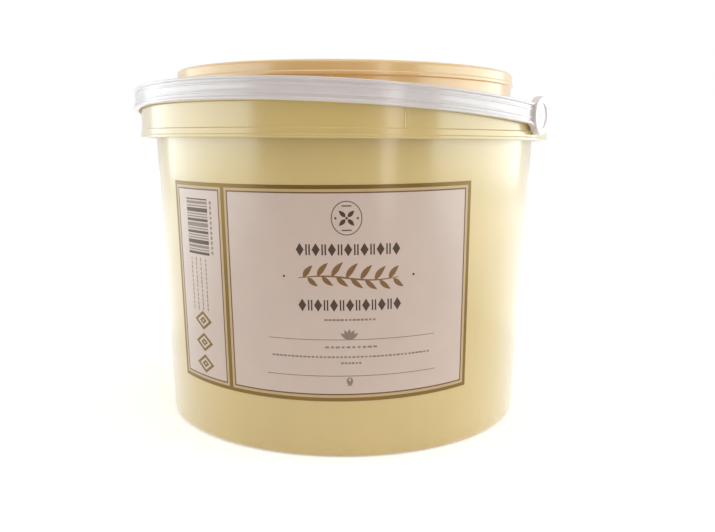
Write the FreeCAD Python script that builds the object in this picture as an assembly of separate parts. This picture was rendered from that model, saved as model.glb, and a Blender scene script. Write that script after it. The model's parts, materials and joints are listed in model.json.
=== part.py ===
import FreeCAD, Part
import math
import os

# A wide, short food tub with a press-down lid and a swinging strap handle.
# Millimetres.  +Z is up, the tub stands on z = 0 and its axis is the Z axis.
# The label faces -Y.  Azimuths are degrees from -Y, positive towards +X.

# ---- tub body: a tapered wall on a rounded foot
BODY_TOP_RADIUS = 81.8
BODY_TAPER = 4.6
SKIRT_BOTTOM = 118.0
FOOT_ROUND = 2.6
STACKING_GAP = 0.6
BASE_RECESS_DEPTH = 1.6
BASE_RECESS_DRAFT = 0.3

# ---- collar: the skirt that stands out round the top of the tub
COLLAR_OVERHANG = 6.2
COLLAR_HEIGHT = 13.0
COLLAR_WALL = 1.5
COLLAR_LEDGE = 1.2
COLLAR_EDGE_ROUND = 0.7
COLLAR_BAND_HEIGHT = 3.3
COLLAR_BAND_OUT = 0.3
COLLAR_LIP_HEIGHT = 1.1
COLLAR_LIP_OUT = 0.25
SEAM_AZIMUTH = 13.5
SEAM_WIDTH = 1.1
SEAM_OUT = 0.25
SEAM_EMBED = 0.6

# ---- lid: a cap that drops into a seat in the collar's ledge
MOUTH_LAND = 2.8
LID_SEAT_DEPTH = 1.4
LID_SEAT_GAP = 0.4
LID_HEIGHT = 16.1
LID_EDGE_ROUND = 1.2
LID_FLANGE_WIDTH = 6.4
LID_FLANGE_HEIGHT = 2.4
LID_RIM_OUT = 0.5
LID_RIM_HEIGHT = 5.3
LID_RIM_WIDTH = 4.0
LID_PANEL_DEPTH = 4.2
LID_RING_INSET = 14.3
LID_RING_WIDTH = 2.4
LID_RING_HEIGHT = 0.8

# ---- handle: a half hoop with a round boss and a headed pin at each end
PIVOT_AZIMUTH = 56.0
PIVOT_DROP = 3.6
REST_TILT = 4.8
HANDLE_GAP = 0.45
STRAP_WIDTH = 7.9
STRAP_WEB = 1.5
STRAP_RIM_OUT = 0.7
STRAP_RIM_WIDTH = 1.0
STRAP_RIB_WIDTH = 0.6
STRAP_RIB_OUT = 0.3
BOSS_RADIUS = 7.4
BOSS_THICKNESS = 2.8
BOSS_EDGE_ROUND = 0.6
BOSS_DISH_RADIUS = 4.6
BOSS_DISH_DEPTH = 0.6
NECK_ROUND = 4.0
PIN_RADIUS = 1.6
PIN_HOLE_GAP = 0.1
PIN_HEAD_OUT = 0.25
PIN_HEAD_LENGTH = 1.2
PIN_HEAD_GAP = 0.4

# ---- label: one sheet wrapped part of the way round the tapered body
LABEL_LEFT_AZIMUTH = -53.9
LABEL_RIGHT_AZIMUTH = 36.3
LABEL_MARGIN_BELOW = 22.8
LABEL_MARGIN_ABOVE = 15.9
LABEL_THICKNESS = 0.25

# ---- dimensions that follow from the ones above
FOOT_RADIUS = BODY_TOP_RADIUS - BODY_TAPER
COLLAR_RADIUS = BODY_TOP_RADIUS + COLLAR_OVERHANG
COLLAR_INNER_RADIUS = COLLAR_RADIUS - COLLAR_WALL
COLLAR_TOP = SKIRT_BOTTOM + COLLAR_HEIGHT
PANEL_RADIUS = COLLAR_RADIUS - COLLAR_BAND_OUT
SEAT_RADIUS = BODY_TOP_RADIUS - MOUTH_LAND
SEAT_HEIGHT = COLLAR_TOP - LID_SEAT_DEPTH
LID_FLANGE_RADIUS = SEAT_RADIUS - LID_SEAT_GAP
LID_WALL_RADIUS = LID_FLANGE_RADIUS - LID_FLANGE_WIDTH
LID_RIM_RADIUS = LID_WALL_RADIUS + LID_RIM_OUT
LID_TOP = SEAT_HEIGHT + LID_HEIGHT
BASE_RECESS_RADIUS = LID_RIM_RADIUS + STACKING_GAP
PIVOT_HEIGHT = COLLAR_TOP - PIVOT_DROP
HANDLE_INNER_RADIUS = COLLAR_RADIUS + COLLAR_LIP_OUT + HANDLE_GAP
PIN_HOLE_RADIUS = PIN_RADIUS + PIN_HOLE_GAP
PIN_HEAD_RADIUS = PIN_HOLE_RADIUS + PIN_HEAD_OUT
LABEL_BOTTOM = LABEL_MARGIN_BELOW
LABEL_TOP = SKIRT_BOTTOM - LABEL_MARGIN_ABOVE

AXIS = FreeCAD.Vector(0, 0, 1)
ORIGIN = FreeCAD.Vector(0, 0, 0)
SAME = 0.01


def body_radius(height):
    """Radius of the tapered body wall at a height."""
    return FOOT_RADIUS + BODY_TAPER * height / SKIRT_BOTTOM


def ring_point(radius, azimuth, height):
    """Point at a radius and an azimuth measured from -Y towards +X."""
    angle = math.radians(azimuth)
    return FreeCAD.Vector(radius * math.sin(angle), -radius * math.cos(angle), height)


def turned(outline, sweep=360.0):
    """Solid of revolution about Z of an outline of (radius, height) pairs."""
    corners = [FreeCAD.Vector(radius, 0, height) for radius, height in outline]
    face = Part.Face(Part.makePolygon(corners + corners[:1]))
    return face.revolve(ORIGIN, AXIS, sweep)


def rounded(solid, size, spots):
    """Round the circular edges that lie at the given (radius, height) spots."""
    edges = []
    for edge in solid.Edges:
        curve = edge.Curve
        if not isinstance(curve, Part.Circle):
            continue
        for radius, height in spots:
            if abs(curve.Radius - radius) < SAME and abs(curve.Center.z - height) < SAME:
                edges.append(edge)
    return solid.makeFillet(size, edges)


def tub_shell():
    """Body, collar and lid seat as one turned solid with an open skirt."""
    skirt_roof = COLLAR_TOP - COLLAR_LEDGE
    lip_radius = COLLAR_RADIUS + COLLAR_LIP_OUT
    lip_top = SKIRT_BOTTOM + COLLAR_LIP_HEIGHT
    band_top = SKIRT_BOTTOM + COLLAR_BAND_HEIGHT
    outline = [
        (0, BASE_RECESS_DEPTH),
        (BASE_RECESS_RADIUS - BASE_RECESS_DRAFT, BASE_RECESS_DEPTH),
        (BASE_RECESS_RADIUS, 0),
        (FOOT_RADIUS, 0),
        (body_radius(skirt_roof), skirt_roof),
        (COLLAR_INNER_RADIUS, skirt_roof),
        (COLLAR_INNER_RADIUS, SKIRT_BOTTOM),
        (lip_radius, SKIRT_BOTTOM),
        (lip_radius, lip_top),
        (COLLAR_RADIUS, lip_top + COLLAR_LIP_OUT),
        (COLLAR_RADIUS, band_top),
        (PANEL_RADIUS, band_top + COLLAR_BAND_OUT),
        (PANEL_RADIUS, COLLAR_TOP),
        (SEAT_RADIUS, COLLAR_TOP),
        (SEAT_RADIUS, SEAT_HEIGHT),
        (0, SEAT_HEIGHT),
    ]
    shell = turned(outline)
    shell = rounded(shell, FOOT_ROUND, [(FOOT_RADIUS, 0)])
    return rounded(shell, COLLAR_EDGE_ROUND, [(PANEL_RADIUS, COLLAR_TOP)])


def seam_rib():
    """Narrow upright rib on the collar's upper panel."""
    bottom = SKIRT_BOTTOM + COLLAR_BAND_HEIGHT
    top = COLLAR_TOP - COLLAR_EDGE_ROUND
    outer = PANEL_RADIUS + SEAM_OUT
    inner = PANEL_RADIUS - SEAM_EMBED
    sweep = math.degrees(SEAM_WIDTH / outer)
    rib = turned([(inner, bottom), (outer, bottom), (outer, top), (inner, top)], sweep)
    rib.rotate(ORIGIN, AXIS, SEAM_AZIMUTH - 90.0 - sweep / 2)
    return rib


def pin_holes():
    """The two bores in the skirt that the handle's pins turn in."""
    spare = COLLAR_WALL
    length = spare + COLLAR_WALL + spare
    bores = []
    for azimuth in (PIVOT_AZIMUTH, PIVOT_AZIMUTH - 180.0):
        start = ring_point(COLLAR_INNER_RADIUS - spare, azimuth, PIVOT_HEIGHT)
        outward = ring_point(1, azimuth, 0)
        bores.append(Part.makeCylinder(PIN_HOLE_RADIUS, length, start, outward))
    return bores


def make_tub():
    """The tub, filled and shut, so one solid."""
    tub = tub_shell().fuse(seam_rib())
    for bore in pin_holes():
        tub = tub.cut(bore)
    return tub.removeSplitter()


def make_lid():
    """Cap with a seat flange, a proud rim band and a sunken top panel."""
    flange_top = SEAT_HEIGHT + LID_FLANGE_HEIGHT
    rim_bottom = LID_TOP - LID_RIM_HEIGHT
    panel = LID_TOP - LID_PANEL_DEPTH
    panel_radius = LID_RIM_RADIUS - LID_RIM_WIDTH
    ring_out = panel_radius - LID_RING_INSET
    ring_in = ring_out - LID_RING_WIDTH
    ring_top = panel + LID_RING_HEIGHT
    ring_slope = LID_RING_HEIGHT / 2
    outline = [
        (0, SEAT_HEIGHT),
        (LID_FLANGE_RADIUS, SEAT_HEIGHT),
        (LID_FLANGE_RADIUS, flange_top),
        (LID_WALL_RADIUS, flange_top),
        (LID_WALL_RADIUS, rim_bottom - LID_RIM_OUT),
        (LID_RIM_RADIUS, rim_bottom),
        (LID_RIM_RADIUS, LID_TOP),
        (panel_radius, LID_TOP),
        (panel_radius, panel),
        (ring_out, panel),
        (ring_out - ring_slope, ring_top),
        (ring_in + ring_slope, ring_top),
        (ring_in, panel),
        (0, panel),
    ]
    lid = turned(outline)
    lid = rounded(lid, LID_EDGE_ROUND, [(LID_RIM_RADIUS, LID_TOP), (panel_radius, LID_TOP)])
    return rounded(lid, LID_EDGE_ROUND / 2, [(LID_FLANGE_RADIUS, flange_top)])


def strap():
    """Half hoop about Z on the -Y side, with raised rims and two fine ribs."""
    inner = HANDLE_INNER_RADIUS
    web = inner + STRAP_WEB
    rim = web + STRAP_RIM_OUT
    rib = web + STRAP_RIB_OUT
    half = STRAP_WIDTH / 2
    rim_in = half - STRAP_RIM_WIDTH
    rib_far = (rim_in + STRAP_RIB_WIDTH) / 2
    rib_near = (rim_in - STRAP_RIB_WIDTH) / 2
    outline = [
        (inner, -half), (rim, -half), (rim, -rim_in), (web, -rim_in),
        (web, -rib_far), (rib, -rib_far), (rib, -rib_near), (web, -rib_near),
        (web, rib_near), (rib, rib_near), (rib, rib_far), (web, rib_far),
        (web, rim_in), (rim, rim_in), (rim, half), (inner, half),
    ]
    hoop = turned(outline, 180.0)
    hoop.rotate(ORIGIN, AXIS, 180.0)
    return hoop


def neck(side):
    """Plate in the hoop's own curve that widens the strap into its round boss."""
    outward = FreeCAD.Vector(side, 0, 0)
    reach = BOSS_RADIUS + NECK_ROUND
    rise = STRAP_WIDTH / 2 + NECK_ROUND
    run = math.sqrt(reach ** 2 - rise ** 2)
    inner = HANDLE_INNER_RADIUS
    outer = inner + STRAP_WEB
    plate = turned([(inner, -rise), (outer, -rise), (outer, rise), (inner, rise)])
    near = -run * BOSS_RADIUS / reach
    start = FreeCAD.Vector(min(0, side * outer), -run, -rise)
    plate = plate.common(Part.makeBox(outer, run + near, 2 * rise, start))
    for height in (rise, -rise):
        centre = FreeCAD.Vector(0, -run, height)
        plate = plate.cut(Part.makeCylinder(NECK_ROUND, outer, centre, outward))
    return plate


def boss(side):
    """Round end boss with a dished face and a headed pin, along X on one side."""
    outward = FreeCAD.Vector(side, 0, 0)
    face = HANDLE_INNER_RADIUS + BOSS_THICKNESS
    disc = Part.makeCylinder(BOSS_RADIUS, BOSS_THICKNESS, outward * HANDLE_INNER_RADIUS, outward)
    circles = [edge for edge in disc.Edges if isinstance(edge.Curve, Part.Circle)]
    outer = [edge for edge in circles if abs(abs(edge.Curve.Center.x) - face) < SAME]
    disc = disc.makeFillet(BOSS_EDGE_ROUND, outer)
    dish_start = outward * (face - BOSS_DISH_DEPTH)
    disc = disc.cut(Part.makeCylinder(BOSS_DISH_RADIUS, BOSS_THICKNESS, dish_start, outward))
    pin_end = COLLAR_INNER_RADIUS - PIN_HEAD_GAP - PIN_HEAD_LENGTH
    pin_length = HANDLE_INNER_RADIUS - pin_end
    pin = Part.makeCylinder(PIN_RADIUS, pin_length, outward * pin_end, outward)
    head = Part.makeCone(PIN_RADIUS, PIN_HEAD_RADIUS, PIN_HEAD_LENGTH, outward * pin_end, outward)
    return disc.fuse(pin).fuse(head)


def make_handle():
    """Strap and both bosses, laid down towards the front left of the tub."""
    handle = strap()
    for side in (1, -1):
        handle = handle.fuse(neck(side)).fuse(boss(side))
    handle = handle.removeSplitter()
    handle.rotate(ORIGIN, FreeCAD.Vector(-1, 0, 0), REST_TILT)
    handle.rotate(ORIGIN, AXIS, PIVOT_AZIMUTH - 90.0)
    handle.translate(FreeCAD.Vector(0, 0, PIVOT_HEIGHT))
    return handle


def make_label():
    """Thin sheet on the tapered wall, in one piece."""
    low = body_radius(LABEL_BOTTOM)
    high = body_radius(LABEL_TOP)
    outline = [
        (low, LABEL_BOTTOM),
        (low + LABEL_THICKNESS, LABEL_BOTTOM),
        (high + LABEL_THICKNESS, LABEL_TOP),
        (high, LABEL_TOP),
    ]
    label = turned(outline, LABEL_RIGHT_AZIMUTH - LABEL_LEFT_AZIMUTH)
    label.rotate(ORIGIN, AXIS, LABEL_LEFT_AZIMUTH - 90.0)
    return label


def main():
    """Write one STEP file for each piece."""
    os.makedirs("parts", exist_ok=True)
    pieces = {"tub": make_tub(), "lid": make_lid(), "handle": make_handle(), "label": make_label()}
    for name, shape in pieces.items():
        if len(shape.Solids) != 1 or not shape.isValid():
            raise RuntimeError(name + " is not one valid solid")
        shape.exportStep("parts/" + name + ".step")
        box = shape.BoundBox
        print(name, "volume", round(shape.Volume), "z", round(box.ZMin, 2), round(box.ZMax, 2))


main()
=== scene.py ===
"""Add-on layout: builds the looks of a wide food tub with a lid, a strap handle and a printed label."""

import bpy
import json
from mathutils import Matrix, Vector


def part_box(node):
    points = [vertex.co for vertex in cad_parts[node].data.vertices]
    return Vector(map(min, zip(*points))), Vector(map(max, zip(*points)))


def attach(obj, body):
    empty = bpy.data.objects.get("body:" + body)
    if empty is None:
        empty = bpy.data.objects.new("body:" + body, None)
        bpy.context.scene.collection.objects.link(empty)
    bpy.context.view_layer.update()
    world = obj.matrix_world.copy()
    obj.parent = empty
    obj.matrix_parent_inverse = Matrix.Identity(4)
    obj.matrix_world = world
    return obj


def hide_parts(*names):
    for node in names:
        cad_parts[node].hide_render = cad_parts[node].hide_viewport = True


bl_info = {
    "name": "Food Tub with Strap Handle",
    "version": (1, 0, 0),
    "blender": (4, 5, 0),
    "location": "3D View > Sidebar > Food Tub",
    "description": "Builds a wide food tub, its press-down lid, strap handle and printed label",
    "category": "Add Mesh",
}

import json
import math

import bmesh
import bpy
from bpy.props import FloatProperty, FloatVectorProperty, PointerProperty
from mathutils import Matrix, Vector

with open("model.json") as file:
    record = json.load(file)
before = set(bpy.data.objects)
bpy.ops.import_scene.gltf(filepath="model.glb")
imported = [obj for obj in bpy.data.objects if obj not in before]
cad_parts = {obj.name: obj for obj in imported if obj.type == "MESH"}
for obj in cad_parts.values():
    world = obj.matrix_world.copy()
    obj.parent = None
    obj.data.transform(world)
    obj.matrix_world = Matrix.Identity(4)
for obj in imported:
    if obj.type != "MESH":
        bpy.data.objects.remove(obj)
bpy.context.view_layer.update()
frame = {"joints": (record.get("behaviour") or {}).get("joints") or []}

MM = 0.001
TINY = 1e-9
FINE = 0.3 * MM  # the usual round on a moulded edge
QUARTER_TURN = math.pi / 2
FULL_TURN = 2 * math.pi
TUB_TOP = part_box("tub")[1][2]
LID_LOW, LID_TOP = (corner[2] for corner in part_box("lid"))
HINGE = frame["joints"][0]


# Settings

def length(name, description, millimetres):
    """A length property; its default is given in millimetres."""
    return FloatProperty(
        name=name, description=description, default=millimetres * MM,
        unit="LENGTH", subtype="DISTANCE", precision=5,
    )


def turn(name, description, degrees):
    """An angle property; its default is given in degrees."""
    return FloatProperty(
        name=name, description=description, default=math.radians(degrees),
        unit="ROTATION", subtype="ANGLE",
    )


def share(name, description, value, top=1.0):
    """A plain factor from nought upwards."""
    return FloatProperty(name=name, description=description, default=value, min=0.0, max=top)


def power(name, description, watts):
    """A lamp's power; its default is given in watts."""
    return FloatProperty(name=name, description=description, default=watts, min=0.0, unit="POWER")


def tint(name, description, colour):
    """A colour property, linear red, green and blue."""
    return FloatVectorProperty(
        name=name, description=description, default=colour, subtype="COLOR", size=3, min=0, max=1
    )


class TubSizes(bpy.types.PropertyGroup):
    """Sizes of the tub body and its collar."""

    foot_radius: length("Foot radius", "Radius of the wall where it meets the floor", 77.2)
    mouth_radius: length("Mouth radius", "Radius of the wall under the collar", 81.8)
    foot_round: length("Foot round", "Rounding of the foot's outer edge", 2.6)
    recess_radius: length("Base recess radius", "Radius of the stacking recess", 73.3)
    recess_depth: length("Base recess depth", "How far the base stands off the floor", 1.6)
    collar_radius: length("Collar radius", "Outside radius of the collar's band", 88.0)
    collar_bottom: length("Collar bottom", "Height of the collar's lower edge", 118.0)
    collar_wall: length("Collar wall", "Thickness of the collar's skirt", 1.5)
    collar_ledge: length("Collar ledge", "Thickness of the ledge over the skirt", 1.2)
    band_height: length("Band height", "Height of the band along the lower edge", 3.3)
    band_out: length("Band step", "How far the band stands out of the panel", 0.3)
    lip_height: length("Lip height", "Height of the bead at the lower edge", 1.1)
    lip_out: length("Lip step", "How far the bead stands out", 0.25)
    seat_radius: length("Seat radius", "Radius of the lid's seat", 79.0)
    seat_depth: length("Seat depth", "Depth of the lid's seat", 1.4)
    seam_turn: turn("Seam azimuth", "Where the upright seam is, right of the front", 13.5)
    seam_width: length("Seam width", "Width of the upright seam", 1.1)


class LidSizes(bpy.types.PropertyGroup):
    """Sizes of the lid."""

    flange_radius: length("Flange radius", "Radius of the seat flange", 78.6)
    flange_height: length("Flange height", "Thickness of the seat flange", 2.4)
    wall_radius: length("Wall radius", "Radius of the lid's upright wall", 72.2)
    rim_radius: length("Rim radius", "Radius of the proud rim band", 72.7)
    rim_height: length("Rim height", "Height of the rim band", 5.3)
    rim_width: length("Rim width", "Width of the flat top rim", 4.0)
    bead_height: length("Bead height", "Height of the bead under the rim band", 1.0)
    bead_out: length("Bead step", "How far the bead stands out", 0.4)
    panel_depth: length("Panel depth", "How far the top panel is sunk", 4.2)
    ring_radius: length("Ring radius", "Outside radius of the raised ring", 54.4)
    ring_width: length("Ring width", "Width of the raised ring", 2.4)
    ring_height: length("Ring height", "Height of the raised ring", 0.8)
    edge_round: length("Edge round", "Rounding of the rim's edges", 1.2)


class HandleSizes(bpy.types.PropertyGroup):
    """Sizes of the strap handle."""

    inner_radius: length("Hoop radius", "Inside radius of the hoop", 88.7)
    rest_tilt: turn("Rest tilt", "Slope of the hoop when laid down", 4.8)
    width: length("Strap width", "Width of the strap", 7.9)
    web: length("Strap web", "Thickness of the strap between its ribs", 1.5)
    rim_out: length("Rim height", "How far the edge rims stand out", 0.7)
    rim_width: length("Rim width", "Width of the edge rims", 1.0)
    rib_out: length("Rib height", "How far the fine ribs stand out", 0.3)
    rib_width: length("Rib width", "Width of the fine ribs", 0.6)
    boss_radius: length("Boss radius", "Radius of the round end bosses", 7.4)
    boss_height: length("Boss height", "Thickness of the bosses", 2.8)
    dish_radius: length("Dish radius", "Radius of the dish in each boss", 4.6)
    dish_depth: length("Dish depth", "Depth of the dish in each boss", 0.6)
    neck_round: length("Neck round", "Fillet between the strap and a boss", 4.0)
    pin_radius: length("Pin radius", "Radius of the pins", 1.6)
    head_radius: length("Pin head radius", "Radius of the pins' heads", 1.95)
    pin_end: length("Pin end", "Distance of the pins' ends from the tub's axis", 84.9)


class LabelSizes(bpy.types.PropertyGroup):
    """Sizes of the label sheet and its printed frames."""

    left_turn: turn("Left edge", "Azimuth of the left edge", -54.35)
    divider_turn: turn("Divider", "Azimuth of the line between the two panels", -33.35)
    right_low_turn: turn("Right edge, low", "Azimuth of the right edge at the bottom", 36.7)
    right_high_turn: turn("Right edge, high", "Azimuth of the right edge at the top", 34.8)
    low_height: length("Lower edge", "Lowest point of the lower edge", 22.3)
    low_turn: turn("Lower edge dip", "Azimuth of the lower edge's lowest point", -14.0)
    low_bow: length("Lower edge bow", "Rise of the lower edge 50 degrees away", 1.78)
    high_height: length("Upper edge", "Lowest point of the upper edge", 101.5)
    high_turn: turn("Upper edge dip", "Azimuth of the upper edge's lowest point", -35.0)
    high_bow: length("Upper edge bow", "Rise of the upper edge 50 degrees away", 0.83)
    thickness: length("Thickness", "Thickness of the sheet", 0.25)
    ink: length("Ink", "Thickness of the printed layer", 0.03)
    band: length("Band", "Width of the gold band along the edges", 1.4)
    divider_band: length("Divider band", "Width of the gold band between the panels", 1.7)
    gap: length("Gap", "Width of the pale gap inside the band", 1.0)
    line: length("Line", "Width of the dark line inside the gap", 0.5)


class TubColours(bpy.types.PropertyGroup):
    """Colours of the plastics, the sheet and the inks."""

    tub: tint("Tub plastic", "Cream yellow of the tub", (0.675, 0.495, 0.178))
    lid: tint("Lid plastic", "Cream orange of the lid", (0.83, 0.56, 0.25))
    handle: tint("Handle plastic", "White of the strap handle", (0.70, 0.64, 0.63))
    sheet: tint("Label field", "Pale rose white of the label", (0.64, 0.495, 0.42))
    margin: tint("Label margin", "Pale cream between band and line", (0.56, 0.385, 0.18))
    gold: tint("Gold ink", "Olive gold of the frames", (0.18, 0.098, 0.004))
    fine_line: tint("Fine line ink", "Warm brown of the lines inside the gold", (0.14, 0.062, 0.02))
    bronze: tint("Bronze ink", "Brown gold of the sprig", (0.215, 0.105, 0.028))
    brown: tint("Brown ink", "Dark brown of the fine lines and rows", (0.06, 0.024, 0.008))
    grey: tint("Grey ink", "Warm grey of the small print", (0.26, 0.19, 0.155))


class StageSettings(bpy.types.PropertyGroup):
    """Camera and studio light."""

    distance: length("Camera distance", "Camera distance from the tub's axis", 352.0)
    height: length("Camera height", "Camera height above the floor", 115.5)
    pitch: turn("Camera pitch", "How far the camera looks down", 8.845)
    yaw: turn("Camera yaw", "How far the camera looks right", 0.988)
    roll: turn("Camera roll", "How far the camera leans", 0.459)
    lens: FloatProperty(
        name="Lens", description="Focal length in millimetres", default=38.95, unit="CAMERA"
    )
    front_light: share("Front light", "Strength of the surround on the camera's side", 0.14, 4.0)
    side_light: share("Side light", "Strength of the surround at the sides and behind", 0.50, 4.0)
    warmth: tint("Front warmth", "Tint of the surround on the camera's side", (1.0, 0.64, 0.46))
    side_hue: tint("Side hue", "Tint of the surround at the sides and behind", (0.93, 1.0, 1.0))
    lamp_hue: tint("Lamp hue", "Cool white of the two side softboxes", (0.83, 0.95, 0.98))
    left_watts: power("Left lamp", "Power of the left softbox", 3.3)
    right_watts: power("Right lamp", "Power of the right softbox", 4.05)
    strip_watts: power("Strip lamp", "Power of the narrow front softbox", 0.55)
    high_watts: power("High lamp", "Power of the softbox high over the front", 2.0)
    high_hue: tint("High lamp hue", "Warm white of the high softbox", (1.0, 0.91, 0.83))
    top_watts: power("Top lamp", "Power of the overhead softbox", 1.6)
    floor_glow: share("Floor glow", "White added to the floor near the tub", 0.42)
    mirror_glow: share("Mirror glow", "White of the floor near the tub as the gloss shows it", 0.6)


class FoodTubSettings(bpy.types.PropertyGroup):
    """All the settings that the panel shows."""

    tub: PointerProperty(type=TubSizes)
    lid: PointerProperty(type=LidSizes)
    handle: PointerProperty(type=HandleSizes)
    label: PointerProperty(type=LabelSizes)
    colours: PointerProperty(type=TubColours)
    stage: PointerProperty(type=StageSettings)


# Small tools

def settings():
    """The settings of the open scene."""
    return bpy.context.scene.food_tub


def ring_point(radius, azimuth, height):
    """Point at a radius and an azimuth measured from the front towards the right."""
    return Vector((radius * math.sin(azimuth), -radius * math.cos(azimuth), height))


def corner_arc(before, corner, after, size, steps=5):
    """Points of a round of the given radius at a corner of an outline."""
    b, c, a = Vector(before), Vector(corner), Vector(after)
    to_b, to_a = (b - c).normalized(), (a - c).normalized()
    half = to_b.angle(to_a) / 2
    reach = min(size / math.tan(half), 0.49 * (b - c).length, 0.49 * (a - c).length)
    radius = reach * math.tan(half)
    centre = c + (to_b + to_a).normalized() * (radius / math.sin(half))
    start, end = c + to_b * reach - centre, c + to_a * reach - centre
    sweep = start.angle_signed(end)
    points = []
    for step in range(steps + 1):
        bend = -sweep * step / steps
        cos, sin = math.cos(bend), math.sin(bend)
        points.append((centre.x + start.x * cos - start.y * sin,
                       centre.y + start.x * sin + start.y * cos))
    return points


def rounded_outline(corners, hold=0.25 * MM, longest=6.0 * MM):
    """Outline through (x, y, round) corners, with loops that hold its straight runs flat."""
    points = []
    count = len(corners)
    for index, (x, y, size) in enumerate(corners):
        if size > 0 and 0 < index < count - 1:
            points += corner_arc(corners[index - 1][:2], (x, y), corners[index + 1][:2], size)
        else:
            points.append((x, y))
    full = [points[0]]
    for (x0, y0), (x1, y1) in zip(points, points[1:]):
        run = math.hypot(x1 - x0, y1 - y0)
        if run < TINY:
            continue
        stops = []
        if run > 3.5 * hold:
            inner = run - 2 * hold
            pieces = max(1, math.ceil(inner / longest))
            stops = [hold + inner * step / pieces for step in range(pieces + 1)]
        for stop in stops:
            part = stop / run
            full.append((x0 + (x1 - x0) * part, y0 + (y1 - y0) * part))
        full.append((x1, y1))
    return full


def new_piece(name, vertices, faces, smooth=True):
    """A mesh object with merged doubles and faces that point outwards."""
    mesh = bpy.data.meshes.new(name)
    mesh.from_pydata([tuple(v) for v in vertices], [], faces)
    piece = bpy.data.objects.new(name, mesh)
    bpy.context.scene.collection.objects.link(piece)
    work = bmesh.new()
    work.from_mesh(mesh)
    bmesh.ops.remove_doubles(work, verts=work.verts, dist=1e-7)
    bmesh.ops.recalc_face_normals(work, faces=work.faces)
    for face in work.faces:
        face.smooth = smooth
    work.to_mesh(mesh)
    work.free()
    mesh.update()
    return piece


def turned_mesh(outline, azimuths, shift=None):
    """Vertices and faces of a closed solid turned about Z; the outline ends on the axis."""
    vertices, faces = [], []
    turns = len(azimuths)
    rings = []
    for radius, height in outline:
        if radius < TINY:
            rings.append([len(vertices)])
            vertices.append(Vector((0, 0, height)))
            continue
        rings.append(list(range(len(vertices), len(vertices) + turns)))
        for azimuth in azimuths:
            extra = shift(radius, height, azimuth) if shift else 0.0
            vertices.append(ring_point(radius + extra, azimuth, height))
    for low, high in zip(rings, rings[1:]):
        for step in range(turns):
            after = (step + 1) % turns
            if len(low) == 1:
                faces.append((low[0], high[after], high[step]))
            elif len(high) == 1:
                faces.append((low[step], low[after], high[0]))
            else:
                faces.append((low[step], low[after], high[after], high[step]))
    return vertices, faces


def even_turns(count):
    """Azimuths all round, evenly spaced."""
    return [FULL_TURN * step / count for step in range(count)]


def finish_piece(piece, body, slot, material, *nodes):
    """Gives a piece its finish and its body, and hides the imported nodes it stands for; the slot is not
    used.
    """
    piece.data.materials.clear()
    piece.data.materials.append(material)
    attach(piece, body)
    if nodes:
        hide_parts(*nodes)


# Materials

def node(tree, kind, **inputs):
    """Adds a shader or geometry node and sets or links its inputs by name or number."""
    made = tree.nodes.new(kind)
    for key, value in inputs.items():
        if hasattr(made, key) and not key.startswith("in_"):
            setattr(made, key, value)
            continue
        name = key[3:]
        socket = made.inputs[int(name) if name.isdigit() else name.replace("_", " ")]
        if isinstance(value, bpy.types.NodeSocket):
            tree.links.new(value, socket)
        else:
            socket.default_value = value
    return made


def empty_tree(owner):
    """The cleared node tree of a material or a world."""
    owner.use_nodes = True
    owner.node_tree.nodes.clear()
    return owner.node_tree


def start_material(name):
    """An empty material with its shader and its place coordinates."""
    material = bpy.data.materials.new(name)
    tree = empty_tree(material)
    output = node(tree, "ShaderNodeOutputMaterial")
    shader = node(tree, "ShaderNodeBsdfPrincipled")
    tree.links.new(shader.outputs[0], output.inputs[0])
    place = node(tree, "ShaderNodeTexCoord").outputs["Object"]
    return material, tree, shader, place


def noise(tree, place, squeeze, scale, detail=3.0, rough=0.5):
    """Noise on place coordinates, squeezed or stretched along Z."""
    mapped = node(tree, "ShaderNodeMapping", in_Vector=place, in_Scale=(1, 1, squeeze))
    return node(
        tree, "ShaderNodeTexNoise", in_Vector=mapped.outputs[0],
        in_Scale=scale, in_Detail=detail, in_Roughness=rough,
    ).outputs[0]


def remap(tree, value, low, high, new_low, new_high):
    """Maps a value from one range to another, clamped."""
    return node(
        tree, "ShaderNodeMapRange", in_Value=value, in_From_Min=low, in_From_Max=high,
        in_To_Min=new_low, in_To_Max=new_high,
    ).outputs[0]


def mixed(tree, factor, first, second):
    """Mix of two colours or colour sockets."""
    return node(
        tree, "ShaderNodeMix", data_type="RGBA", in_0=factor, in_6=first, in_7=second
    ).outputs[2]


def combined(tree, operation, first, second):
    """Math node on two values."""
    return node(tree, "ShaderNodeMath", operation=operation, in_0=first, in_1=second).outputs[0]


def shade(colour, factor):
    """A colour made lighter or darker, with full alpha."""
    return tuple(min(1.0, c * factor) for c in colour) + (1.0,)


def finish_shader(tree, shader, tone, rough, bumps, **constants):
    """Links tone, roughness and layers of bump, and sets the rest on the shader's own sockets."""
    bump = None
    for height, strength, distance in bumps:
        layer = node(
            tree, "ShaderNodeBump", in_Height=height, in_Strength=strength, in_Distance=distance
        )
        if bump:
            tree.links.new(bump, layer.inputs["Normal"])
        bump = layer.outputs[0]
    for name, socket in (("Base Color", tone), ("Roughness", rough), ("Normal", bump)):
        tree.links.new(socket, shader.inputs[name])
    for name, value in constants.items():
        shader.inputs[name.replace("_", " ")].default_value = value


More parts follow.
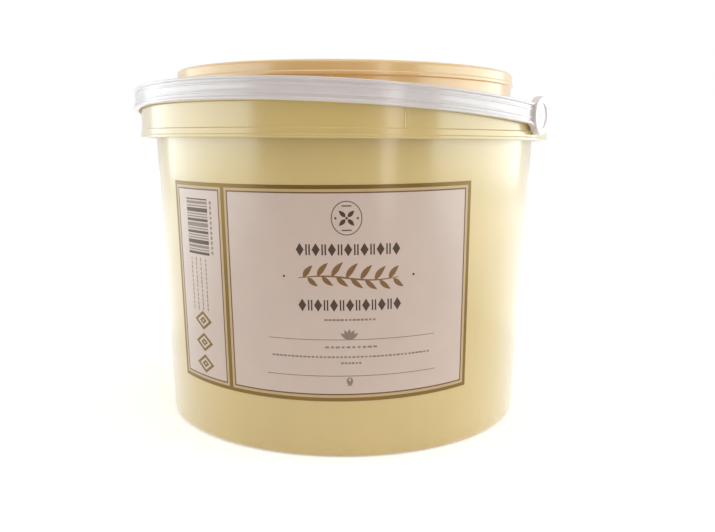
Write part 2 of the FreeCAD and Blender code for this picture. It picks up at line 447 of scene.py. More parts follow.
def moulded_plastic(name, colour, coat, sheen, scuff_height=None):
    """Moulded plastic: cloudy tone, flow marks, fine grain, hair scratches, scuffs near the floor."""
    base_rough = 0.34
    material, tree, shader, place = start_material(name)
    cloud = noise(tree, place, 1, 26.0, 4.0)
    flow = noise(tree, place, 0.12, 190.0, 2.0)
    grain = noise(tree, place, 1, 2600.0, 2.0)
    wave = noise(tree, place, 0.35, 60.0, 2.0)
    scratch = remap(tree, noise(tree, place, 14, 420.0, 2.0, 0.6), 0.68, 0.74, 0, 0.09)
    tone = mixed(tree, remap(tree, cloud, 0.3, 0.7, 0, 1), shade(colour, 0.965), shade(colour, 1.035))
    tone = mixed(tree, remap(tree, flow, 0.35, 0.75, 0, 0.22), tone, shade(colour, 1.06))
    rough = remap(tree, cloud, 0.25, 0.75, base_rough - 0.04, base_rough + 0.05)
    rough = combined(tree, "ADD", rough, scratch)
    if scuff_height:
        height = node(tree, "ShaderNodeSeparateXYZ", in_0=place).outputs[2]
        near = remap(tree, height, 0.0, scuff_height, 1, 0)
        patch = remap(tree, noise(tree, place, 2.5, 150.0, 5.0, 0.65), 0.45, 0.65, 0, 1)
        scuff = combined(tree, "MULTIPLY", near, patch)
        tone = mixed(tree, combined(tree, "MULTIPLY", scuff, 0.35), tone, shade(colour, 0.82))
        rough = combined(tree, "ADD", rough, combined(tree, "MULTIPLY", scuff, 0.2))
    finish_shader(
        tree, shader, tone, rough, ((grain, 0.25, 0.00002), (wave, 0.35, 0.00025)),
        IOR=1.5, Coat_Weight=coat, Coat_Roughness=0.17, Coat_IOR=1.6,
        Sheen_Weight=sheen, Sheen_Roughness=0.4,
    )
    return material


def printed_film(name, colour, roughness, metal=0.0, paper=False, coat=0.15):
    """Label film or ink: soft mottling, a faint film texture and an even satin sheen."""
    material, tree, shader, place = start_material(name)
    mottle = noise(tree, place, 1, 70.0, 5.0, 0.6)
    fibre = noise(tree, place, 3, 1500.0, 3.0, 0.6)
    wave = noise(tree, place, 0.4, 45.0, 2.0)
    tone = mixed(tree, remap(tree, mottle, 0.3, 0.7, 0, 1), shade(colour, 0.97), shade(colour, 1.03))
    if paper:
        tone = mixed(tree, remap(tree, fibre, 0.4, 0.7, 0, 0.25), tone, shade(colour, 0.93))
    rough = remap(tree, mottle, 0.3, 0.7, roughness - 0.04, roughness + 0.05)
    finish_shader(
        tree, shader, tone, rough, ((fibre, 0.15, 0.00002), (wave, 0.35, 0.0003)),
        Metallic=metal, Coat_Weight=coat, Coat_Roughness=0.18, Coat_IOR=1.6,
    )
    return material


# Tub and collar

class FOODTUB_OT_body(bpy.types.Operator):
    """Turn the tub body with its foot, collar and lid seat"""

    bl_idname = "foodtub.body"
    bl_label = "Tub Body"

    def execute(self, context):
        s = settings().tub
        top = TUB_TOP
        roof = top - s.collar_ledge
        skirt_in = s.collar_radius - s.collar_wall
        taper = (s.mouth_radius - s.foot_radius) / s.collar_bottom
        lip = s.collar_radius + s.lip_out
        panel = s.collar_radius - s.band_out
        lip_top = s.collar_bottom + s.lip_height
        band_top = s.collar_bottom + s.band_height
        seat = top - s.seat_depth
        outline = rounded_outline([
            (0, s.recess_depth, 0),
            (s.recess_radius - FINE, s.recess_depth, 0.5 * MM),
            (s.recess_radius, 0, FINE),
            (s.foot_radius, 0, s.foot_round),
            (s.foot_radius + taper * roof, roof, 1.0 * MM),
            (skirt_in, roof, 0.8 * MM),
            (skirt_in, s.collar_bottom, FINE),
            (lip, s.collar_bottom, 0.35 * MM),
            (lip, lip_top, FINE),
            (s.collar_radius, lip_top + s.lip_out, FINE),
            (s.collar_radius, band_top, 0.15 * MM),
            (panel, band_top + s.band_out, FINE),
            (panel, top, 0.7 * MM),
            (s.seat_radius, top, FINE),
            (s.seat_radius, seat, 0.2 * MM),
            (0, seat, 0),
        ])
        seam_low = band_top + s.band_out
        seam_high = top - 0.75 * MM
        half = s.seam_width / 2

        def seam(radius, height, azimuth):
            """Radius change of the upright seam: a fine rib beside a fine groove."""
            if radius < panel - 0.05 * MM or not seam_low <= height <= seam_high:
                return 0.0
            off = ((azimuth - s.seam_turn + math.pi) % FULL_TURN - math.pi) * panel / half
            if abs(off) > 1:
                return 0.0
            rib = 0.16 * MM * math.exp(-((off + 0.25) / 0.3) ** 2)
            groove = 0.12 * MM * math.exp(-((off - 0.5) / 0.22) ** 2)
            return rib - groove

        turns = even_turns(360)
        cuts = 14  # on either side of the seam's middle
        near = [s.seam_turn + half * step / cuts / panel * 1.05 for step in range(-cuts, cuts + 1)]
        clear = 1.3 * half / panel
        turns = sorted([t for t in turns if abs(t - s.seam_turn) > clear] + near)
        piece = new_piece("tub_body", *turned_mesh(outline, turns, seam))
        look = moulded_plastic("cream_tub_plastic", settings().colours.tub, 1.0, 0.5, scuff_height=9 * MM)
        finish_piece(piece, "tub", "tub_plastic", look, "tub")
        return {"FINISHED"}


class FOODTUB_OT_lid(bpy.types.Operator):
    """Turn the press-down lid"""

    bl_idname = "foodtub.lid"
    bl_label = "Lid"

    def execute(self, context):
        s = settings().lid
        low, top = LID_LOW, LID_TOP
        flange_top = low + s.flange_height
        rim_low = top - s.rim_height
        step = s.rim_radius - s.wall_radius
        panel = top - s.panel_depth
        panel_radius = s.rim_radius - s.rim_width
        ring_in = s.ring_radius - s.ring_width
        soft = s.ring_height / 2
        outline = rounded_outline([
            (0, low, 0),
            (s.flange_radius, low, FINE),
            (s.flange_radius, flange_top, 0.6 * MM),
            (s.wall_radius, flange_top, 0.8 * MM),
            (s.wall_radius, rim_low - step / 2, 0.15 * MM),
            (s.rim_radius + s.bead_out, rim_low, 0.25 * MM),
            (s.rim_radius + s.bead_out, rim_low + s.bead_height, 0.2 * MM),
            (s.rim_radius, rim_low + s.bead_height + s.bead_out, FINE),
            (s.rim_radius, top, s.edge_round),
            (panel_radius, top, s.edge_round),
            (panel_radius, panel, 1.0 * MM),
            (s.ring_radius, panel, FINE),
            (s.ring_radius - soft, panel + s.ring_height, FINE),
            (ring_in + soft, panel + s.ring_height, FINE),
            (ring_in, panel, FINE),
            (4.0 * MM, panel, FINE),
            (3.0 * MM, panel + 0.5 * MM, FINE),
            (0, panel + 0.5 * MM, 0),
        ])
        piece = new_piece("lid_cap", *turned_mesh(outline, even_turns(360)))
        look = moulded_plastic("cream_lid_plastic", settings().colours.lid, 0.7, 0.4)
        finish_piece(piece, "tub", "lid_plastic", look, "lid")
        return {"FINISHED"}


# Handle

def hoop_place():
    """Matrix that lays the hoop, drawn flat about Z, down at its pivots."""
    s = settings().handle
    across = -Vector(HINGE["axis"]).normalized()
    heading = math.atan2(across.y, across.x)
    tilt = Matrix.Rotation(s.rest_tilt, 4, Vector((-1, 0, 0)))
    return Matrix.Translation(Vector(HINGE["pos_m"])) @ Matrix.Rotation(heading, 4, "Z") @ tilt


def strap_half_width(s, off):
    """Half width of the strap at a distance along it from a boss's centre."""
    half = s.width / 2
    reach = s.boss_radius + s.neck_round
    rise = half + s.neck_round
    run = math.sqrt(reach ** 2 - rise ** 2)
    near = run * s.boss_radius / reach
    if off >= run:
        return half
    off = max(off, near)
    return rise - math.sqrt(s.neck_round ** 2 - (run - off) ** 2)


def strap_section(s, half):
    """Closed section of the strap as (out, up) pairs, for a given half width."""
    base = s.width / 2
    rim_in = half - s.rim_width
    rib_far = (base - s.rim_width + s.rib_width) / 2
    rib_near = (base - s.rim_width - s.rib_width) / 2
    rim, rib, web = s.web + s.rim_out, s.web + s.rib_out, s.web
    soft, fine = 0.32 * MM, 0.12 * MM
    upper = [
        (web, rib_near, fine), (rib, rib_near, fine), (rib, rib_far, fine), (web, rib_far, fine),
        (web, rim_in, 0.2 * MM), (rim, rim_in, soft), (rim, half, soft), (0, half, soft),
    ]
    lower = [(out, -up, size) for out, up, size in reversed(upper)]
    corners = lower + upper
    points = []
    for index, (out, up, size) in enumerate(corners):
        before = corners[index - 1][:2]
        after = corners[(index + 1) % len(corners)][:2]
        points += corner_arc(before, (out, up), after, size, 3)
    return points


class FOODTUB_OT_handle(bpy.types.Operator):
    """Sweep the strap handle and turn its two bosses"""

    bl_idname = "foodtub.handle"
    bl_label = "Strap Handle"

    def execute(self, context):
        s = settings().handle
        look = moulded_plastic("white_handle_plastic", settings().colours.handle, 1.0, 0.8)
        place = hoop_place()
        arc = s.inner_radius + s.web / 2
        buried = 3.0 * MM / arc  # each end of the strap runs on into its boss
        steps, gather = 300, 1.25  # the sections gather towards the ends
        vertices, faces = [], []
        size = 0
        for step in range(steps + 1):
            part = -1 + 2 * step / steps
            part = math.copysign(1 - (1 - abs(part)) ** gather, part)
            azimuth = part * (QUARTER_TURN - buried)
            off = (QUARTER_TURN - abs(azimuth)) * arc
            section = strap_section(s, strap_half_width(s, off))
            size = len(section)
            for out, up in section:
                vertices.append(place @ ring_point(s.inner_radius + out, azimuth, up))
        for step in range(steps):
            for spot in range(size):
                after = (spot + 1) % size
                here, there = step * size, (step + 1) * size
                faces.append((here + spot, here + after, there + after, there + spot))
        faces.append(tuple(range(size)))
        faces.append(tuple(range(steps * size, (steps + 1) * size)))
        strap = new_piece("handle_strap", vertices, faces)
        finish_piece(strap, "handle", "handle_plastic", look, "handle")

        face = s.inner_radius + s.boss_height
        dish = face - s.dish_depth
        outline = rounded_outline([
            (0, s.pin_end, 0),
            (s.pin_radius, s.pin_end, 0.2 * MM),
            (s.head_radius, s.pin_end + 1.2 * MM, 0.1 * MM),
            (s.pin_radius, s.pin_end + 1.25 * MM, 0.02 * MM),
            (s.pin_radius, s.inner_radius, 0.1 * MM),
            (s.boss_radius, s.inner_radius, FINE),
            (s.boss_radius, face, 0.6 * MM),
            (s.dish_radius + 0.25 * MM, face, FINE),
            (s.dish_radius - 0.1 * MM, dish, FINE),
            (1.1 * MM, dish, 0.15 * MM),
            (0.8 * MM, dish + 0.2 * MM, 0.15 * MM),
            (0, dish + 0.2 * MM, 0),
        ])
        for side, name in ((1, "handle_boss_right"), (-1, "handle_boss_left")):
            points, quads = turned_mesh(outline, even_turns(96))
            lay = place @ Matrix.Rotation(side * QUARTER_TURN, 4, "Y")
            piece = new_piece(name, [lay @ point for point in points], quads)
            finish_piece(piece, "handle", "handle_plastic", look, "handle")
        return {"FINISHED"}


# Label

def wall_radius(height):
    """Radius of the tub's outer wall at a height."""
    s = settings().tub
    return s.foot_radius + (s.mouth_radius - s.foot_radius) * height / s.collar_bottom


def sheet_size():
    """Width and height of the label, measured along the sheet."""
    s = settings().label
    middle = (s.low_height + s.high_height) / 2
    right = (s.right_low_turn + s.right_high_turn) / 2
    return (right - s.left_turn) * wall_radius(middle), s.high_height - s.low_height


def lay_on_wall(across, up, lift):
    """Point on the tapered wall of a place on the sheet, whose straight edges bow as it wraps."""
    s = settings().label
    width, height = sheet_size()
    part = up / height
    right = s.right_low_turn + (s.right_high_turn - s.right_low_turn) * part
    azimuth = s.left_turn + (right - s.left_turn) * across / width
    bow_turn = math.radians(50)  # the turn at which a bow is given
    low = s.low_height + s.low_bow * ((azimuth - s.low_turn) / bow_turn) ** 2
    high = s.high_height + s.high_bow * ((azimuth - s.high_turn) / bow_turn) ** 2
    z = low + (high - low) * part
    return ring_point(wall_radius(z) + lift, azimuth, z)


def across_of(azimuth):
    """Distance across the sheet of an azimuth at mid height."""
    s = settings().label
    width, _ = sheet_size()
    right = (s.right_low_turn + s.right_high_turn) / 2
    return width * (azimuth - s.left_turn) / (right - s.left_turn)


class Print:
    """Flat shapes of one ink, collected in sheet coordinates in metres."""

    def __init__(self):
        self.points = []
        self.faces = []

    def strip(self, pairs, closed=False):
        """A run of faces between pairs of points, joined end to end when closed."""
        start, count = len(self.points), len(pairs)
        for pair in pairs:
            self.points += pair
        for index in range(count if closed else count - 1):
            a, b = start + 2 * index, start + 2 * ((index + 1) % count)
            self.faces.append((a, b, b + 1, a + 1))

    def patch(self, left, low, right, high, step=1.5 * MM):
        """A filled rectangle, cut into strips so that it can wrap."""
        pieces = max(1, math.ceil((right - left) / step))
        cuts = [left + (right - left) * index / pieces for index in range(pieces + 1)]
        self.strip([((x, low), (x, high)) for x in cuts])

    def frame(self, left, low, right, high, width):
        """A rectangular frame of an even width, with square corners."""
        self.patch(left, low, right, low + width)
        self.patch(left, high - width, right, high)
        self.patch(left, low + width, left + width, high - width)
        self.patch(right - width, low + width, right, high - width)

    def ribbon(self, path, widths):
        """A line through points with a width at each of them."""
        pairs = []
        for index, (x, y) in enumerate(path):
            x0, y0 = path[max(0, index - 1)]
            x1, y1 = path[min(len(path) - 1, index + 1)]
            run = math.hypot(x1 - x0, y1 - y0) or 1
            half = widths[index] / 2
            dx, dy = -(y1 - y0) / run * half, (x1 - x0) / run * half
            pairs.append(((x - dx, y - dy), (x + dx, y + dy)))
        self.strip(pairs)

    def lozenge(self, x, y, wide, tall, width, step=1.2 * MM):
        """The outline of a lozenge standing on its point, with mitred corners."""
        shrink = 1 - width * math.hypot(wide, tall) / (wide * tall)
        corners = ((0, -tall), (wide, 0), (0, tall), (-wide, 0))
        pieces = max(1, math.ceil(math.hypot(wide, tall) / step))
        pairs = []
        for index, (x0, y0) in enumerate(corners):
            x1, y1 = corners[(index + 1) % len(corners)]
            for piece in range(pieces):
                dx = x0 + (x1 - x0) * piece / pieces
                dy = y0 + (y1 - y0) * piece / pieces
                pairs.append(((x + dx, y + dy), (x + dx * shrink, y + dy * shrink)))
        self.strip(pairs, closed=True)

    def ring(self, x, y, wide, tall, width, steps=48):
        """An oval ring."""
        pairs = []
        for bend in even_turns(steps):
            cos, sin = math.cos(bend), math.sin(bend)
            inner = (x + (wide - width) * cos, y + (tall - width) * sin)
            pairs.append((inner, (x + wide * cos, y + tall * sin)))
        self.strip(pairs, closed=True)

    def dot(self, x, y, size, steps=20):
        """A filled round dot."""
        start = len(self.points)
        self.points.append((x, y))
        for bend in even_turns(steps):
            self.points.append((x + size * math.cos(bend), y + size * math.sin(bend)))
        for step in range(steps):
            self.faces.append((start, start + 1 + step, start + 1 + (step + 1) % steps))

    def leaf(self, x, y, size, fat, lean, bend=0.0, steps=12):
        """A pointed leaf that grows from a point; lean is its angle from level."""
        path, widths = [], []
        for step in range(steps + 1):
            part = step / steps
            angle = lean + bend * part
            if step:
                x += size / steps * math.cos(angle)
                y += size / steps * math.sin(angle)
            path.append((x, y))
            widths.append(max(0.02 * MM, fat * math.sin(math.pi * part ** 0.8) ** 0.9))
        self.ribbon(path, widths)

    def add_mesh(self, mesh, x=0.0, y=0.0, turn_by=0.0):
        """Takes in a flat mesh, moved and turned on the sheet."""
        start = len(self.points)
        cos, sin = math.cos(turn_by), math.sin(turn_by)
        for vertex in mesh.vertices:
            px, py = vertex.co.x, vertex.co.y
            self.points.append((x + px * cos - py * sin, y + px * sin + py * cos))
        for face in mesh.polygons:
            self.faces.append(tuple(start + index for index in face.vertices))
        bpy.data.meshes.remove(mesh)


def printed_piece(name, art, material):
    """Lays flat art on the label as a thin closed layer."""
    s = settings().label
    vertices = [lay_on_wall(x, y, s.thickness + s.ink) for x, y in art.points]
    piece = new_piece(name, vertices, art.faces, smooth=False)
    work = bmesh.new()
    work.from_mesh(piece.data)
    work.normal_update()
    for face in work.faces:
        middle = face.calc_center_median()
        if face.normal.dot(Vector((middle.x, middle.y, 0))) < 0:
            face.normal_flip()
    work.to_mesh(piece.data)
    work.free()
    thick = piece.modifiers.new("ink_thickness", "SOLIDIFY")
    thick.thickness = 2 * s.ink
    thick.offset = -1
    finish_piece(piece, "tub", "label_film", material, "label")


def mark_row_tree():
    """Geometry nodes: a row of small marks along X, all of one kind."""
    tree = bpy.data.node_groups.new("mark_row", "GeometryNodeTree")
    tree.interface.new_socket("Geometry", in_out="OUTPUT", socket_type="NodeSocketGeometry")
    wanted = (
        ("Count", "NodeSocketInt", 8), ("Pitch", "NodeSocketFloat", 4 * MM),
        ("Mark width", "NodeSocketFloat", 2 * MM), ("Mark height", "NodeSocketFloat", 3 * MM),
        ("Spread", "NodeSocketFloat", 0.0), ("Corners", "NodeSocketInt", 4),
        ("Pointed", "NodeSocketBool", False), ("Seed", "NodeSocketInt", 1),
        ("Ink", "NodeSocketMaterial", None),
    )
    for name, kind, value in wanted:
        socket = tree.interface.new_socket(name, in_out="INPUT", socket_type=kind)
        if value is not None:
            socket.default_value = value
    take = node(tree, "NodeGroupInput").outputs
    step = node(tree, "ShaderNodeCombineXYZ", in_X=take["Pitch"])
    line = node(tree, "GeometryNodeMeshLine", in_Count=take["Count"], in_Offset=step.outputs[0])
    block = node(
        tree, "GeometryNodeMeshGrid", in_Size_X=1.0, in_Size_Y=1.0, in_Vertices_X=5, in_Vertices_Y=2
    )
    pointed = node(
        tree, "GeometryNodeMeshCircle", fill_type="NGON", in_Vertices=take["Corners"], in_Radius=0.5
    )
    mark = node(
        tree, "GeometryNodeSwitch", input_type="GEOMETRY", in_Switch=take["Pointed"],
        in_False=block.outputs[0], in_True=pointed.outputs[0],
    )
    chance = node(
        tree, "FunctionNodeRandomValue", data_type="FLOAT", in_Seed=take["Seed"],
        in_2=combined(tree, "SUBTRACT", 1.0, take["Spread"]),
        in_3=combined(tree, "ADD", 1.0, take["Spread"]),
    )
    width = combined(tree, "MULTIPLY", take["Mark width"], chance.outputs[1])
    scale = node(tree, "ShaderNodeCombineXYZ", in_X=width, in_Y=take["Mark height"], in_Z=1.0)
    placed = node(
        tree, "GeometryNodeInstanceOnPoints", in_Points=line.outputs[0],
        in_Instance=mark.outputs[0], in_Scale=scale.outputs[0],
    )
    real = node(tree, "GeometryNodeRealizeInstances", in_Geometry=placed.outputs[0])
    inked = node(tree, "GeometryNodeSetMaterial", in_Geometry=real.outputs[0], in_Material=take["Ink"])
    node(tree, "NodeGroupOutput", in_Geometry=inked.outputs[0])
    return tree


def mark_row(tree, ink, **inputs):
    """Plain flat mesh of a row of marks; inputs are named as in the tree."""
    carrier = bpy.data.objects.new("mark_row", bpy.data.meshes.new("mark_row"))
    bpy.context.scene.collection.objects.link(carrier)
    modifier = carrier.modifiers.new("marks", "NODES")
    modifier.node_group = tree
    inputs["Ink"] = ink
    for item in tree.interface.items_tree:
        key = item.name.replace(" ", "_")
        if item.in_out == "INPUT" and key in inputs:
            modifier[item.identifier] = inputs[key]
    graph = bpy.context.evaluated_depsgraph_get()
    mesh = bpy.data.meshes.new_from_object(carrier.evaluated_get(graph), depsgraph=graph)
    bpy.data.objects.remove(carrier)
    return mesh


def add_row(art, tree, ink, x, y, count, pitch, wide, tall, turn_by=0.0, **more):
    """Adds a row of marks to flat art; its pitch and its marks are given in millimetres."""
    row = mark_row(
        tree, ink, Count=count, Pitch=pitch * MM, Mark_width=wide * MM, Mark_height=tall * MM, **more
    )
    art.add_mesh(row, x, y, turn_by)


class FOODTUB_OT_label(bpy.types.Operator):
    """Lay the label sheet on the wall"""

    bl_idname = "foodtub.label"
    bl_label = "Label Sheet"

    def execute(self, context):
        s = settings().label
        width, height = sheet_size()
        across, up = 180, 40
        glue = 0.02 * MM
        edge_face = 1e-7  # square metres: only the faces along the edge are smaller
        vertices, faces = [], []
        for lift in (glue, s.thickness):
            for row in range(up + 1):
                for column in range(across + 1):
                    vertices.append(lay_on_wall(width * column / across, height * row / up, lift))
        stride = across + 1
        layer = stride * (up + 1)
        for row in range(up):
            for column in range(across):
                a = row * stride + column
                quad = (a, a + 1, a + 1 + stride, a + stride)
                faces.append(quad)
                faces.append(tuple(layer + index for index in reversed(quad)))
        edge = list(range(across + 1))
        edge += [across + stride * row for row in range(1, up + 1)]
        edge += [stride * up + column for column in range(across - 1, -1, -1)]
        edge += [stride * row for row in range(up - 1, 0, -1)]
        for index, a in enumerate(edge):
            b = edge[(index + 1) % len(edge)]
            faces.append((a, b, b + layer, a + layer))
        piece = new_piece("label_sheet", vertices, faces, smooth=False)
        for face in piece.data.polygons:
            face.use_smooth = face.area > edge_face
        look = printed_film("label_film", settings().colours.sheet, 0.36, paper=True, coat=0.8)
        finish_piece(piece, "tub", "label_film", look, "label")
        return {"FINISHED"}


class FOODTUB_OT_borders(bpy.types.Operator):
    """Print the gold frames, their pale gaps and the fine lines inside them"""

    bl_idname = "foodtub.borders"
    bl_label = "Label Frames"

    def execute(self, context):
        s = settings().label
        colours = settings().colours
        width, height = sheet_size()
        middle = across_of(s.divider_turn)
        gold, pale, dark = Print(), Print(), Print()
        half = s.divider_band / 2
        gold.frame(0, 0, width, height, s.band)
        gold.patch(middle - half, s.band, middle + half, height - s.band)
        for left, right in ((s.band, middle - half), (middle + half, width - s.band)):
            pale.frame(left, s.band, right, height - s.band, s.gap)
            inset = s.band + s.gap
            dark.frame(left + s.gap, inset, right - s.gap, height - inset, s.line)
        for name, art, ink in (
            ("label_band", gold, printed_film("gold_ink", colours.gold, 0.32, 0.5, coat=0.3)),
            ("label_margin", pale, printed_film("margin_ink", colours.margin, 0.36, coat=0.4)),
            ("label_line", dark, printed_film("fine_line_ink", colours.fine_line, 0.38)),
        ):
            printed_piece(name, art, ink)
        return {"FINISHED"}


class FOODTUB_OT_artwork(bpy.types.Operator):
    """Print the plain ornament of the main panel and the side panel"""

    bl_idname = "foodtub.artwork"
    bl_label = "Label Ornament"

    def execute(self, context):
        colours = settings().colours
        tree = mark_row_tree()
        brown = printed_film("brown_ink", colours.brown, 0.38)
        bronze = printed_film("bronze_ink", colours.bronze, 0.34, 0.2)
        grey = printed_film("grey_ink", colours.grey, 0.38)
        side_gold = printed_film("side_gold_ink", colours.gold, 0.32, 0.5, coat=0.3)
        centre = across_of(math.radians(1.2))
        base = settings().label.low_height
        dark, warm, small, olive = Print(), Print(), Print(), Print()
        self.emblem(dark, centre - 0.4 * MM, 89.9 * MM - base)
        for low, shift in ((76.3, 0.0), (56.1, 0.4)):
            self.ornament_row(tree, dark, brown, centre + shift * MM, low * MM - base + 2.4 * MM)
        self.sprig(warm, centre, 68.4 * MM - base)
        for side in (-1, 1):
            dark.dot(centre + side * 23.6 * MM + 0.2 * MM, 68.9 * MM - base, 0.45 * MM)
        self.small_rows(tree, small, grey, centre, base)
        self.side_panel(tree, dark, small, olive, grey, base)
        printed_piece("label_brown_print", dark, brown)
        printed_piece("label_bronze_print", warm, bronze)
        printed_piece("label_gold_print", olive, side_gold)
        printed_piece("label_grey_print", small, grey)
        return {"FINISHED"}

    @staticmethod
    def emblem(art, x, y):
        """A thin oval ring round a plain four-petalled flower, with two short bars and two dots."""
        art.ring(x, y, 5.5 * MM, 6.1 * MM, 0.3 * MM)
        heart = 0.6 * MM
        for petal in range(4):
            lean = math.pi / 4 + petal * QUARTER_TURN
            foot = (x + heart * math.cos(lean), y + heart * math.sin(lean))
            art.leaf(*foot, 3.2 * MM, 1.5 * MM, lean)
        art.dot(x, y, 0.45 * MM)
        for side in (-1, 1):
            level = y + side * 4.3 * MM
            art.patch(x - 1.7 * MM, level - 0.2 * MM, x + 1.7 * MM, level + 0.2 * MM)
            art.dot(x + side * 3.9 * MM, y, 0.4 * MM)

    @staticmethod
    def ornament_row(tree, art, ink, x, y):
        """Lozenges with a pair of upright bars between neighbours."""
        count, pitch = 7, 5.75
        start = x - pitch * MM * (count - 1) / 2
        add_row(art, tree, ink, start, y, count, pitch, 2.9, 4.7, Pointed=True, Corners=4)
        for side in (-1, 1):
            middle = start + pitch * MM / 2
            add_row(art, tree, ink, middle + side * 0.55 * MM, y, count - 1, pitch, 0.55, 3.9)

    @staticmethod
    def sprig(art, x, y):
        """A level stem with slanting leaves on both sides."""
        span, wave, steps, leaves = 36 * MM, 0.8 * MM, 60, 7

        def stem(part):
            """Point of the stem at a share of its length."""
            return x + (part - 0.5) * span, y + wave * math.sin(FULL_TURN * part)

        parts = [step / steps for step in range(steps + 1)]
        widths = [(0.25 + 0.35 * math.sin(math.pi * part)) * MM for part in parts]
        art.ribbon([stem(part) for part in parts], widths)
        for index in range(leaves):
            part = (index + 0.35) / leaves
            sx, sy = stem(part)
            size = (5.4 + 1.4 * math.sin(math.pi * part)) * MM
            art.leaf(sx, sy, size, 2.0 * MM, math.radians(66), math.radians(-26))
            art.leaf(sx + 1.6 * MM, sy, size * 0.86, 1.8 * MM, math.radians(-54), math.radians(24))

    @staticmethod
    def small_rows(tree, art, ink, x, base):
        """Rules, rows of fine dashes and two small flourishes."""
        rows = (
            (0.4, 53.1, 13, 1.45, 1.0, 1.3),
            (0.6, 42.9, 10, 1.95, 1.25, 1.3),
            (0.8, 39.2, 40, 1.5, 1.05, 1.15),
            (0.6, 36.9, 6, 1.3, 0.9, 1.4),
        )
        for index, (shift, height, count, pitch, wide, tall) in enumerate(rows):
            start = x + shift * MM - pitch * MM * (count - 1) / 2
            add_row(art, tree, ink, start, height * MM - base, count, pitch, wide, tall * 0.55,
                    Spread=0.28, Seed=index + 3)
        half_rule = 0.13 * MM
        for height, left, right in ((45.7, -30.2, 32.6), (32.0, -31.2, 33.4)):
            y = height * MM - base
            art.patch(x + left * MM, y - half_rule, x + right * MM, y + half_rule)
        for lean in (35, 62, 90, 118, 145):
            art.leaf(x, 45.9 * MM - base, 3.9 * MM, 1.5 * MM, math.radians(lean))
        for side in (-1, 1):
            lean, bend = math.radians(-90 - side * 62), math.radians(150) * side
            art.leaf(x, 31.6 * MM - base, 4.6 * MM, 0.8 * MM, lean, bend)
        art.dot(x, 29.6 * MM - base, 0.5 * MM)

    @staticmethod
    def side_panel(tree, dark, small, olive, grey, base):
        """A block of stacked level bars, thin upright rows and a column of double lozenges."""
        left = 8.4 * MM
        widths = (1, 2, 1, 3, 1, 1, 2, 3, 1, 2, 1, 1, 3, 2, 1, 2)
        y = 95.3 * MM - base
        block = 22.0 * MM
        unit = block / (sum(widths) + 0.936 * len(widths))
        for index, wide in enumerate(widths):
            tall = wide * unit
            ink = small if index % 3 else dark
            ink.patch(left, y - tall, left + 12.6 * MM, y)
            y -= tall + unit * 0.94
        add_row(small, tree, grey, left + 14.3 * MM, 75.0 * MM - base, 11, 1.9, 1.1, 0.9, QUARTER_TURN,
                Spread=0.2, Seed=11)
        for index in range(4):
            x = left + (1.4 + 2.9 * index) * MM
            add_row(small, tree, grey, x, 52.4 * MM - base, 12, 1.75, 1.3, 0.5, QUARTER_TURN,
                    Spread=0.3, Seed=20 + index)
        for index in range(3):
            x, y = left + 6.6 * MM, (47.6 - 8.8 * index) * MM - base
            olive.lozenge(x, y, 5.2 * MM, 3.8 * MM, 1.0 * MM)
            olive.lozenge(x, y, 2.1 * MM, 1.5 * MM, 0.8 * MM)


# Stage

WHITE = (1, 1, 1, 1)
LAMP_TARGET = Vector((0, 0, 0.07))
FLOOR_HALF = 3.0
# Pairs of distances in metres between which a value fades from the first to the last
FLOOR_FADE = 0.12, 0.5  # the floor to white, from the tub's axis
MIRROR_FADE = 0.14, 0.36  # the floor to dark in the gloss, from the tub's axis
MIRROR_SIDES = 0.08, 0.3  # the floor to white in the gloss, sideways and back
MIRROR_FAR, MIRROR_BRIGHT = 0.08, 0.9
SURROUND_TURN = -0.95, -0.1  # where the camera's side of the surround ends


def look_from(place, forward, roll):
    """Camera matrix at a place, looking along a direction and leaning by an angle."""
    back = -forward.normalized()
    right = Vector((0, 0, 1)).cross(back).normalized()
    up = back.cross(right)
    right, up = (right * math.cos(roll) + up * math.sin(roll),
                 up * math.cos(roll) - right * math.sin(roll))
    matrix = Matrix((right, up, back)).transposed().to_4x4()
    matrix.translation = place
    return matrix


def softbox(name, place, size, watts, hue=(1.0, 1.0, 1.0)):
    """A rectangular area lamp that faces the middle of the tub."""
    lamp = bpy.data.lights.new(name, "AREA")
    lamp.color = hue
    lamp.shape = "RECTANGLE"
    lamp.size, lamp.size_y = size
    lamp.energy = watts
    made = bpy.data.objects.new(name, lamp)
    bpy.context.scene.collection.objects.link(made)
    place = Vector(place)
    made.matrix_world = look_from(place, LAMP_TARGET - place, 0.0)


def ray_kinds(tree):
    """Whether a ray comes from the camera, and whether it was mirrored or let through."""
    path = node(tree, "ShaderNodeLightPath").outputs
    mirrored = combined(tree, "MAXIMUM", path["Is Glossy Ray"], path["Is Transmission Ray"])
    return path["Is Camera Ray"], mirrored


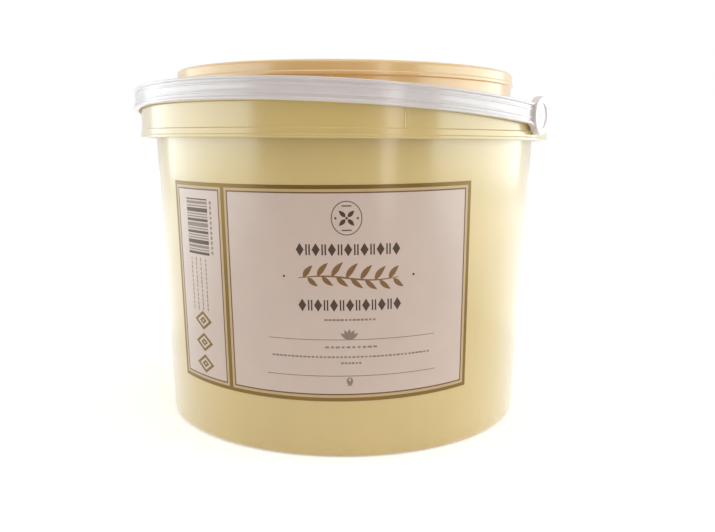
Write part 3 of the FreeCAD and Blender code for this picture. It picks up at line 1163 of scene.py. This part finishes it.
class FOODTUB_OT_stage(bpy.types.Operator):
    """Set the camera, the floor, the soft studio light and the white surround"""

    bl_idname = "foodtub.stage"
    bl_label = "Stage"

    def execute(self, context):
        s = settings().stage
        scene = context.scene
        lens = bpy.data.cameras.new("camera")
        lens.lens = s.lens
        lens.sensor_width = 36.0
        lens.clip_start = 0.01
        camera = bpy.data.objects.new("camera", lens)
        scene.collection.objects.link(camera)
        level = math.cos(s.pitch)
        forward = Vector((math.sin(s.yaw) * level, math.cos(s.yaw) * level, -math.sin(s.pitch)))
        camera.matrix_world = look_from(Vector((0, -s.distance, s.height)), forward, s.roll)
        scene.camera = camera

        side = (1.3, 0.34)
        softbox("softbox_left", (-0.80, -0.05, 0.20), side, s.left_watts, s.lamp_hue)
        softbox("softbox_right", (0.80, -0.05, 0.20), side, s.right_watts, s.lamp_hue)
        softbox("softbox_strip", (0.30, -0.70, 0.20), (0.10, 0.6), s.strip_watts)
        softbox("softbox_high", (0.05, -0.55, 0.80), (0.9, 0.6), s.high_watts, s.high_hue)
        softbox("softbox_top", (0.0, 0.1, 0.95), (0.9, 0.9), s.top_watts)

        scene.world = bpy.data.worlds.new("white_surround")
        tree = empty_tree(scene.world)
        toward = node(tree, "ShaderNodeTexCoord").outputs["Generated"]
        toward = node(tree, "ShaderNodeSeparateXYZ", in_0=toward).outputs[1]
        behind = remap(tree, toward, *SURROUND_TURN, 0, 1)
        seen, shown = ray_kinds(tree)
        strength = remap(tree, behind, 0, 1, s.front_light, s.side_light)
        strength = combined(tree, "MAXIMUM", strength, combined(tree, "MULTIPLY", shown, behind))
        strength = combined(tree, "MAXIMUM", strength, seen)
        hue = mixed(tree, behind, tuple(s.warmth) + (1,), tuple(s.side_hue) + (1,))
        hue = mixed(tree, combined(tree, "MAXIMUM", seen, shown), hue, WHITE)
        glow = node(tree, "ShaderNodeBackground", in_Color=hue, in_Strength=strength)
        node(tree, "ShaderNodeOutputWorld", in_Surface=glow.outputs[0])

        corners = [(x * FLOOR_HALF, y * FLOOR_HALF, 0) for x, y in ((-1, -1), (1, -1), (1, 1), (-1, 1))]
        floor = new_piece("floor", corners, [(0, 1, 2, 3)], False)
        material = bpy.data.materials.new("white_floor")
        tree = empty_tree(material)
        paint = node(tree, "ShaderNodeBsdfDiffuse", in_Color=(0.86, 0.86, 0.86, 1))
        seen, shown = ray_kinds(tree)
        place = node(tree, "ShaderNodeTexCoord").outputs["Object"]
        away = node(tree, "ShaderNodeVectorMath", operation="LENGTH", in_0=place).outputs["Value"]
        lift = remap(tree, away, *FLOOR_FADE, s.floor_glow, 1.0)
        lift = combined(tree, "MULTIPLY", seen, lift)
        across, along, _ = node(tree, "ShaderNodeSeparateXYZ", in_0=place).outputs
        outward = combined(tree, "ADD", combined(tree, "ABSOLUTE", across, 0.0), along)
        mirrored = remap(tree, away, *MIRROR_FADE, s.mirror_glow, MIRROR_FAR)
        sides = remap(tree, outward, *MIRROR_SIDES, 0, MIRROR_BRIGHT)
        mirrored = combined(tree, "MULTIPLY", shown, combined(tree, "MAXIMUM", mirrored, sides))
        lift = combined(tree, "MAXIMUM", lift, mirrored)
        glow = node(tree, "ShaderNodeEmission", in_Color=WHITE, in_Strength=lift)
        both = node(tree, "ShaderNodeAddShader", in_0=paint.outputs[0], in_1=glow.outputs[0])
        node(tree, "ShaderNodeOutputMaterial", in_Surface=both.outputs[0])
        floor.data.materials.append(material)

        scene.view_settings.view_transform = "Standard"
        return {"FINISHED"}


# Panel

class FOODTUB_PT_panel(bpy.types.Panel):
    """Lists the steps and the sizes."""

    bl_idname = "FOODTUB_PT_panel"
    bl_label = "Food Tub"
    bl_space_type = "VIEW_3D"
    bl_region_type = "UI"
    bl_category = "Food Tub"

    def draw(self, context):
        layout = self.layout
        for step in STEPS:
            layout.operator("foodtub." + step)
        for group in ("tub", "lid", "handle", "label", "colours", "stage"):
            box = layout.box()
            box.label(text=group.capitalize())
            values = getattr(settings(), group)
            for name in values.bl_rna.properties.keys():
                if name not in ("rna_type", "name"):
                    box.prop(values, name)


STEPS = ("stage", "body", "lid", "handle", "label", "borders", "artwork")
CLASSES = (
    TubSizes, LidSizes, HandleSizes, LabelSizes, TubColours, StageSettings, FoodTubSettings,
    FOODTUB_OT_stage, FOODTUB_OT_body, FOODTUB_OT_lid, FOODTUB_OT_handle, FOODTUB_OT_label,
    FOODTUB_OT_borders, FOODTUB_OT_artwork, FOODTUB_PT_panel,
)


def register():
    """Registers the classes and the settings."""
    for item in CLASSES:
        bpy.utils.register_class(item)
    bpy.types.Scene.food_tub = PointerProperty(type=FoodTubSettings)


def unregister():
    """Removes the settings and the classes."""
    del bpy.types.Scene.food_tub
    for item in reversed(CLASSES):
        bpy.utils.unregister_class(item)


def main():
    """Runs each step in order."""
    register()
    for step in STEPS:
        getattr(bpy.ops.foodtub, step)()


if __name__ == "__main__":
    main()
